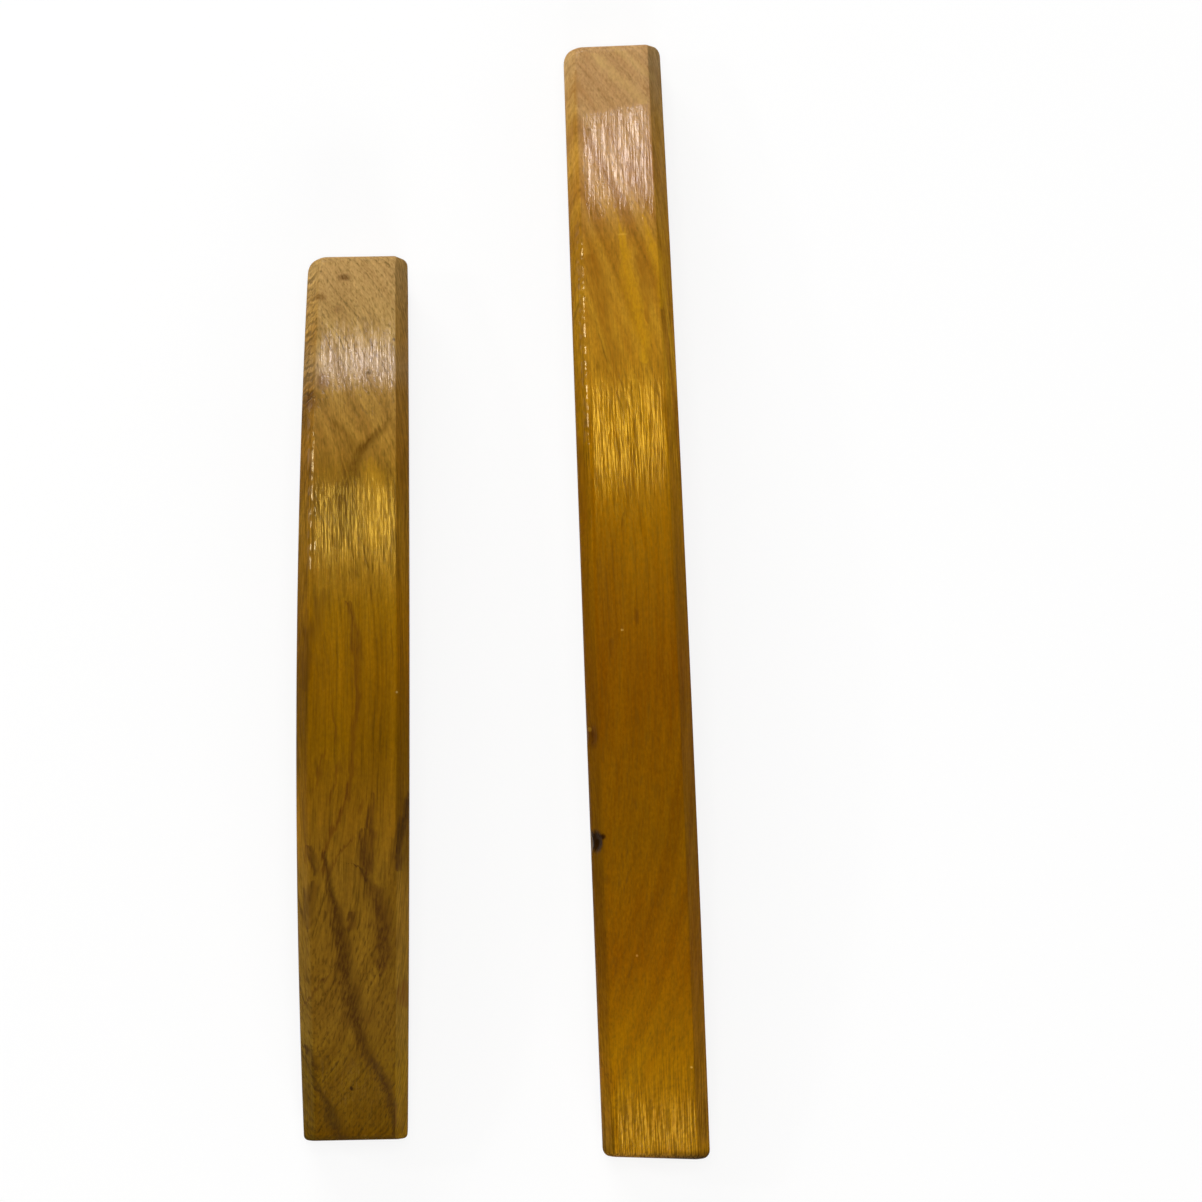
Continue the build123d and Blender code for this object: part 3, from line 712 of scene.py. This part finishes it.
# Browner wood with open pores and wandering rings, matt towards its tail, where the varnish is nearly gone.
short_wood = varnished_wood(
    "olive_varnished_hardwood",
    middle=short_middle,
    turn=SHORT_TURN,
    length=SHORT_LENGTH,
    end_radius=SHORT_END_RADIUS,
    top=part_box("short_clave")[1].z / MM,
    # The wood's tone along the stick, part real and part painted light: a painted shadow along the tail's
    # lower rim, a painted reflection of the cool band at about y 73.5, and paler towards the head, partly as
    # a painted sheen.
    tones_and_painted_light=[
        (-98.6, "#392601"), (-97.6, "#5C3C02"), (-83, "#654507"), (-72, "#6D4C12"), (-38, "#6F4D10"),
        (-27, "#744E0B"), (-10, "#6E4800"), (6, "#774D00"), (20, "#7C5303"), (40, "#825E1E"),
        (50, "#7C5718"), (58, "#8E6728"), (68, "#957034"), (73.5, "#A48660"), (80, "#A18049"),
        (95, "#A68350"),
    ],
    # Painted light and shade on the left and the right bevels.
    bevel_light_and_shade=(
        [
            (-95, 1.1), (-84, 0.95), (-72, 1.2), (-45, 1.2), (-30, 1.45), (-15, 0.9), (0, 0.65), (34, 1.0),
            (55, 0.9), (72, 0.65), (88, 0.95),
        ],
        [
            (-95, 2.0), (-84, 1.7), (-65, 1.45), (-45, 1.7), (-30, 0.85), (0, 1.05), (17, 1.2), (45, 0.95),
            (55, 0.9), (64, 0.7), (95, 0.75),
        ],
    ),
    # A painted tint of the bevels, for how the lamps colour them.
    bevel_painted_tint=[
        (-98, (0.96, 1.1, 1.6)), (-72, (0.96, 1.07, 1.35)), (-45, (0.98, 1.05, 1.4)), (-23, (1.0, 1.0, 0.85)),
        (0, (1.0, 0.99, 0.7)), (34, (1.02, 0.98, 0.5)), (66, (1.02, 0.9, 0.56)), (80, (1.02, 0.88, 0.56)),
        (95, (1.0, 1.0, 0.9)),
    ],
    pore_colour="#3A2406",
    figure={
        "wander_size": (10, 30, 10),
        "wander": (2.4, 0.0, 2.0),
        "ring_depth": [(-98, 0.28), (-50, 0.24), (-20, 0.12), (30, 0.10), (50, 0.16), (98, 0.22)],
        "browner": (0.82, 0.78, 0.74),
        "yellower": (1.16, 1.19, 1.18),
        "liveliness": [(-98, 0.8), (0, 0.6), (60, 0.8), (98, 0.6)],
        "fibre_depth": 0.12,
        "speckle_depth": 0.12,
        "speckle_bump": 0.15,
        "pore_open": (0.55, 0.64),
        "pore_depth": [(-98, 0.85), (-50, 0.7), (-20, 0.4), (30, 0.3), (55, 0.38), (75, 0.45), (98, 0.42)],
        "pore_dip": 0.3,
        "stroke_size": (0.26, 8, 0.26),
        # painted glints along the strokes, strongest where the reflection bands lie
        "painted_glint_depth": [(-98, 0.05), (0, 0.04), (25, 0.08), (32, 0.22), (46, 0.2), (60, 0.08), (98, 0.04)],
    },
    rasped=(62.0, 99.0, 1.1, 0.32),
    coat=[(-98, 0.02), (20, 0.03), (60, 0.05), (66, 0.5), (70, 1.0), (76, 0.9), (84, 0.3), (90, 0.3)],
    matt=[(-98, 0.5), (-40, 0.45), (10, 0.16), (30, 0.10), (98, 0.10)],
    edge_gloss=(-10.2, -8.0, 27.0, 68.0, 2.2),
    veins=[
        ([(-1.1, 35.1, 0.0), (-1.4, 38.1, 2.8), (-1.8, 41.8, 4.2), (-2.2, 44.4, 4.2), (-1.8, 47.0, 3.4),
          (-0.3, 49.6, 3.1), (0.8, 53.0, 2.9), (2.3, 55.6, 2.0), (4.4, 58.0, 0.0)], 0.85, "#52320A"),
        ([(1.6, 54.0, 0.0), (2.9, 56.3, 2.2), (6.0, 59.3, 1.9), (8.6, 62.6, 0.0)], 0.6, "#543408"),
        ([(-3.4, 33.0, 0.0), (-3.2, 36.0, 4.2), (-3.2, 40.5, 5.4), (-3.4, 44.8, 4.2),
          (-3.0, 48.4, 0.0)], 0.4, "#5C3E0E"),
        ([(4.6, 32.6, 0.0), (5.4, 37.0, 4.8), (5.6, 42.0, 6.2), (5.4, 47.0, 5.2), (4.4, 51.0, 3.0),
          (3.8, 54.0, 0.0)], 0.4, "#AE7E16"),
        ([(2.3, 52.2, 0.0), (1.2, 55.2, 2.6), (-0.7, 57.8, 2.8), (-2.9, 60.0, 1.8),
          (-4.8, 62.6, 0.0)], 0.6, "#644210"),
        ([(-10.7, 1.0, 0.0), (-10.3, 6.5, 2.1), (-9.6, 12.9, 2.6), (-8.5, 17.7, 2.8), (-7.4, 21.4, 2.1),
          (-6.3, 24.7, 0.0)], 0.6, "#583608"),
        ([(-6.6, -40.6, 0.0), (-6.4, -36.5, 0.7), (-5.0, -31.3, 0.9), (-3.3, -27.3, 1.0),
          (-1.6, -23.5, 1.0), (-0.5, -19.1, 0.9), (-0.2, -12.0, 1.0), (0.6, -5.3, 1.2), (1.2, 1.0, 1.2),
          (0.8, 10.3, 1.6), (0.2, 17.7, 1.3), (-1.4, 21.8, 0.0)], 0.8, "#522C06"),
        ([(-3.3, -10.9, 0.0), (-3.7, -7.9, 0.6), (-4.1, -2.7, 0.6), (-4.0, 1.7, 0.0)], 0.6, "#522C06"),
        ([(-8.5, -22.1, 0.0), (-7.9, -18.0, 0.6), (-6.8, -13.9, 0.6), (-6.1, -9.4, 0.0)], 0.6, "#522C06"),
        ([(-5.3, -24.3, 0.0), (-4.8, -21.7, 0.7), (-3.3, -16.9, 0.6), (-2.4, -12.0, 0.0)], 0.6, "#522C06"),
        ([(3.0, -40.0, 0.0), (4.1, -35.6, 1.3), (4.5, -32.3, 1.4), (4.0, -27.8, 1.3), (4.4, -24.0, 1.1),
          (4.8, -20.5, 0.0)], 0.75, "#46260A"),
        ([(0.8, -26.9, 0.0), (1.7, -24.3, 0.6), (2.7, -21.3, 0.0)], 0.5, "#522C06"),
        ([(-5.7, -42.5, 0.0), (-5.1, -38.8, 0.6), (-3.3, -35.0, 0.6), (-1.1, -32.4, 0.6),
          (0.4, -29.5, 0.0)], 0.7, "#4E2A08"),
        ([(9.9, -38.6, 0.0), (9.9, -35.6, 2.2), (10.5, -31.7, 1.8), (11.3, -27.8, 1.6), (12.0, -25.0, 1.4),
          (12.5, -20.0, 0.0)], 0.85, "#3A200C"),
        ([(6.2, -62.5, 0.0), (6.8, -58.4, 2.6), (7.1, -55.1, 3.8), (7.0, -51.8, 4.4), (6.5, -48.4, 4.2),
          (5.5, -45.1, 3.6), (4.6, -42.3, 3.0), (3.3, -40.6, 2.0), (2.6, -38.4, 2.4), (2.6, -36.2, 2.2),
          (2.5, -32.3, 1.8), (2.4, -28.5, 0.0)], 0.85, "#40220A"),
        ([(3.4, -41.7, 0.0), (2.3, -39.1, 0.7), (0.8, -37.3, 0.6), (-1.4, -36.5, 0.0)], 0.9, "#341C08"),
        ([(-8.1, -39.9, 0.0), (-8.5, -37.6, 1.1), (-9.4, -35.4, 1.6), (-10.3, -32.4, 0.0)], 0.8, "#3E220A"),
        ([(-10.0, -51.5, 0.0), (-9.8, -47.9, 2.8), (-9.4, -44.0, 2.6),
          (-8.6, -40.4, 0.0)], 0.55, "#3E220A"),
        ([(9.3, -98.2, 0.0), (9.2, -95.6, 1.0), (8.8, -91.1, 1.7), (7.9, -87.8, 1.9), (6.4, -84.8, 2.5),
          (4.5, -81.5, 2.5), (2.5, -77.8, 2.2), (1.2, -74.0, 2.2), (0.4, -70.7, 4.5), (-0.3, -68.1, 3.9),
          (-1.4, -63.6, 3.5), (-1.9, -59.2, 3.4), (-2.1, -56.2, 3.2), (-2.9, -51.8, 2.8),
          (-4.0, -47.3, 2.2), (-4.9, -42.9, 1.4), (-5.7, -37.8, 1.1), (-6.0, -33.5, 0.0)], 0.95, "#3E2208"),
        ([(-0.7, -52.5, 0.0), (-0.1, -49.5, 1.4), (-0.3, -47.3, 0.0)], 0.7, "#42240A"),
        ([(-8.1, -83.7, 0.0), (-8.5, -81.8, 1.1), (-9.4, -79.2, 1.6), (-10.3, -77.0, 0.0)], 0.8, "#3A2008"),
        ([(-2.5, -98.6, 0.0), (-3.3, -96.7, 3.0), (-4.8, -93.4, 3.4), (-6.3, -89.6, 2.0),
          (-8.1, -86.7, 1.6), (-9.6, -83.7, 0.0)], 0.85, "#3A2208"),
        ([(-11.1, -69.2, 0.0), (-9.6, -67.0, 0.7), (-7.0, -63.3, 0.7), (-3.7, -59.9, 0.0)], 0.7, "#42240A"),
        ([(11.9, -69.2, 0.0), (11.6, -65.9, 2.5), (11.9, -62.5, 0.0)], 0.6, "#5A300C"),
    ],
    spots=[
        (-1.8, 93.7, 2.0, 1.1, 0.8, "#5E3E20"),
        (-7.3, 89.2, 1.8, 1.1, 0.7, "#6E4A22"),
        (-3.3, 86.6, 1.5, 1.3, 0.45, "#6A4826"),
        (-6.7, 70.4, 2.6, 2.6, 0.55, "#64402A"),
        (-9.3, 66.0, 2.4, 3.6, 0.6, "#5A3210"),
        (-10.9, 61.5, 1.8, 3.4, 0.7, "#54340E"),
        (9.1, 79.7, 0.6, 0.6, 0.9, "#3A2410"),
        (3.4, 72.3, 0.9, 0.6, 0.8, "#3A2410"),
        (-0.2, -87.0, 0.6, 0.7, 1.4, "#2A1204"),
        (9.8, 1.3, 0.35, 0.35, 0.6, "#C8B080"),
    ],
)
short_clave.data.materials.append(short_wood)
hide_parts("short_clave")
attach(short_clave, "short_clave")

# ======================================================================================================
# The studio
# A plain white paper floor, soft lamps at both ends and sides, small ones whose reflections lie in bands
# across the sticks, and a camera high above that looks straight down.
# ======================================================================================================

FLOOR_REACH = 30.0  # metres from the middle to each side
FLOOR_DROP = 0.02  # mm below the sticks' feet, so that the faces don't lie in each other
FLOOR_GLOW = 0.85  # share of the paper that looks evenly white, so that shadows on it stay faint
floor_corners = [(x * FLOOR_REACH, y * FLOOR_REACH, 0.0) for x, y in ((-1, -1), (1, -1), (1, 1), (-1, 1))]
floor_mesh = bpy.data.meshes.new("floor")
floor_mesh.from_pydata(floor_corners, [], [(0, 1, 2, 3)])
floor = bpy.data.objects.new("floor", floor_mesh)
bpy.context.scene.collection.objects.link(floor)
floor.location.z = -FLOOR_DROP * MM

# Matt white paper, which the camera and the reflections see more evenly lit than it is.
paper = bpy.data.materials.new("white_paper")
paper.use_nodes = True
tree = paper.node_tree
tree.nodes.clear()
camera_ray = add(tree, "LightPath", out="Is Camera Ray")
rays = camera_ray.node.outputs
seen = add(tree, "Math", {0: camera_ray, 1: rays["Is Glossy Ray"]}, operation="MAXIMUM")
seen = add(tree, "Math", {0: seen, 1: rays["Is Transmission Ray"]}, operation="MAXIMUM")
share = add(tree, "Math", {0: seen, 1: FLOOR_GLOW}, operation="MULTIPLY")
matt = add(tree, "BsdfDiffuse", {"Color": linear("#F6F6F5")})
bright = add(tree, "Emission", {"Color": linear("#FFFFFF"), "Strength": 1.0})
both = add(tree, "MixShader", {0: share, 1: matt, 2: bright})
add(tree, "OutputMaterial", {"Surface": both}, out=None)
floor_mesh.materials.append(paper)


def lamp(name, place, aim, size, power, colour, spin=0.0, lights=True, reflects=True):
    """A flat soft lamp that the camera doesn't see: places and size in metres, power in watts, spin in
    degrees. With lights off, only its reflection in the varnish shows, and with reflects off only its
    light."""
    light = bpy.data.lights.new(name, "AREA")
    light.shape = "RECTANGLE"
    light.size, light.size_y = size
    light.energy = power
    light.color = linear(colour)[:3]
    holder = bpy.data.objects.new(name, light)
    bpy.context.scene.collection.objects.link(holder)
    holder.location = place
    facing = (Vector(aim) - Vector(place)).to_track_quat("-Z", "Y")
    holder.rotation_euler = (facing @ Quaternion((0, 0, 1), radians(spin))).to_euler()
    holder.visible_camera = False
    holder.visible_diffuse, holder.visible_glossy = lights, reflects


# White lamps light the sticks.
lamp("head_end", (-0.48, 1.36, 0.72), (0, 0, 0), (0.9, 0.5), 16.0, "#FFFFFF")
lamp("tail_end", (0.20, -1.46, 0.66), (0, 0, 0), (0.9, 0.5), 13.0, "#FFFFFF")
lamp("overhead", (0.0, 0.12, 1.6), (0, 0, 0), (0.5, 0.5), 10.0, "#FFFFFF", reflects=False)
lamp("left", (-0.99, 0.265, 0.80), (0, 0, 0), (0.12, 0.12), 2.0, "#FFFFFF", reflects=False)
lamp("right", (0.95, 0.30, 0.60), (0, 0, 0), (0.30, 0.30), 0.6, "#FFFFFF", reflects=False)
# These only show in the varnish: a cool band on the heads, a warm one above the middle, another at the long
# clave's tail, and the drops along the left edges.
lamp("window", (0.0, 0.508, 0.75), (0, 0.07, 0.02), (0.13, 0.095), 0.66, "#EAE4F2", spin=-40.0, lights=False)
lamp("strip", (0.0, 0.172, 0.75), (0, 0.03, 0.03), (0.13, 0.10), 1.6, "#FFEDB8", lights=False)
lamp("low_strip", (0.05, -0.665, 0.75), (0.03, -0.11, 0.02), (0.09, 0.11), 0.95, "#FFEFC4", lights=False)
lamp("left_glint", (-0.96, 0.27, 0.78), (0, 0, 0), (0.40, 0.15), 3.9, "#FFE6B0", lights=False)

world = bpy.data.worlds.new("studio")
bpy.context.scene.world = world
world.use_nodes = True
tree = world.node_tree
tree.nodes.clear()
rise = add(tree, "SeparateXYZ", {0: add(tree, "TexCoord", out="Generated")}).node.outputs["Z"]
# Pale walls light the sides; the ceiling is dark, so that it doesn't fog the varnish.
wall_greys = [(0.0, 0.1), (0.1, 0.15), (0.25, 0.3), (0.55, 0.3), (0.75, 0.02)]
walls = add(tree, "ValToRGB", {0: rise}, stops=wall_greys)
around = add(tree, "Background", {"Color": walls, "Strength": 1.0})
# The camera sees pure white behind the floor, and so do reflections that look level or down.
white = add(tree, "Background", {"Color": linear("#FFFFFF"), "Strength": 1.0})
camera_ray = add(tree, "LightPath", out="Is Camera Ray")
rays = camera_ray.node.outputs
shiny = add(tree, "Math", {0: rays["Is Glossy Ray"], 1: rays["Is Transmission Ray"]}, operation="MAXIMUM")
level = add(tree, "MapRange", {0: rise, 1: 0.05, 2: 0.0})
shiny = add(tree, "Math", {0: shiny, 1: level}, operation="MULTIPLY")
seen = add(tree, "Math", {0: camera_ray, 1: shiny}, operation="MAXIMUM")
both = add(tree, "MixShader", {0: seen, 1: around, 2: white})
add(tree, "OutputWorld", {"Surface": both}, out=None)

CAMERA_HEIGHT = 5.0  # metres above the level of the sticks' ends
ENDS_LEVEL = 0.015
VIEW_WIDTH = 0.26783  # metres in view from left to right at that level
VIEW_MIDDLE = (0.02172, 0.00022)  # metres from the part's middle
SENSOR_WIDTH = 36.0
camera_data = bpy.data.cameras.new("camera")
camera_data.sensor_width = SENSOR_WIDTH
camera_data.lens = SENSOR_WIDTH * CAMERA_HEIGHT / VIEW_WIDTH
camera_data.clip_start, camera_data.clip_end = 0.1, 50.0
# A camera that isn't turned looks straight down.
camera = bpy.data.objects.new("camera", camera_data)
bpy.context.scene.collection.objects.link(camera)
camera.location = (*VIEW_MIDDLE, CAMERA_HEIGHT + ENDS_LEVEL)
bpy.context.scene.camera = camera

bpy.context.scene.view_settings.view_transform = "Standard"
